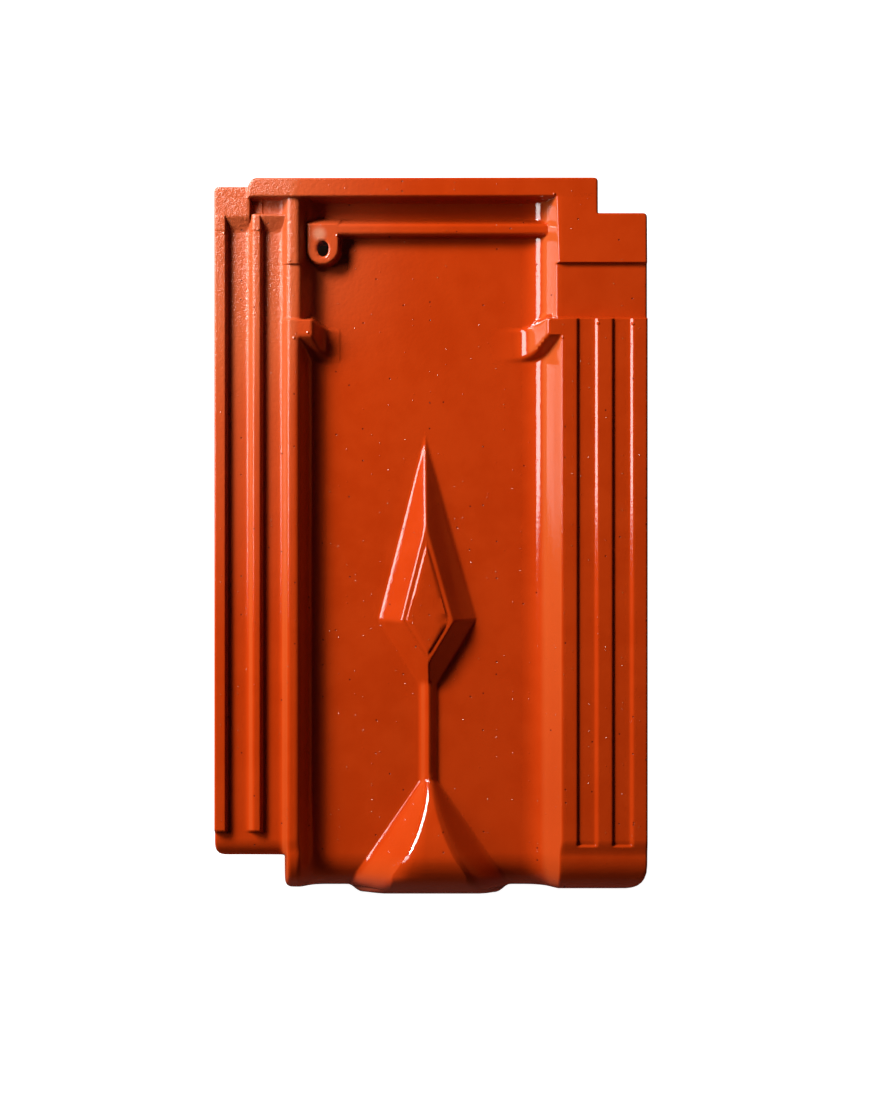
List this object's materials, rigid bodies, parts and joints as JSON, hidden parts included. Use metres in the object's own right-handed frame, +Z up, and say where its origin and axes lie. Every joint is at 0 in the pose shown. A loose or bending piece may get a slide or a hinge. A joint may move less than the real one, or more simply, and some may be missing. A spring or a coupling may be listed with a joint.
{
  "type": "glazed roof tile",
  "caption": "Interlocking clay roof tile with a side lap, a fluted cover, a head channel and a raised lozenge, stem and spreading tail in its sunken pan.",
  "frame": {"origin": "centre of the tile's outline, on the flat surface that it rests on", "axes": "+Z up through the moulded face, +Y towards the head, where the nail boss and nibs are, +X towards the fluted cover"},
  "size_m": [0.2466, 0.41, 0.052],
  "materials": {
    "glaze": "glossy red-orange glaze over fired clay, bare clay underneath"
  },
  "bodies": {
    "root": {"roof_tile": "glaze"}
  },
  "joints": []
}
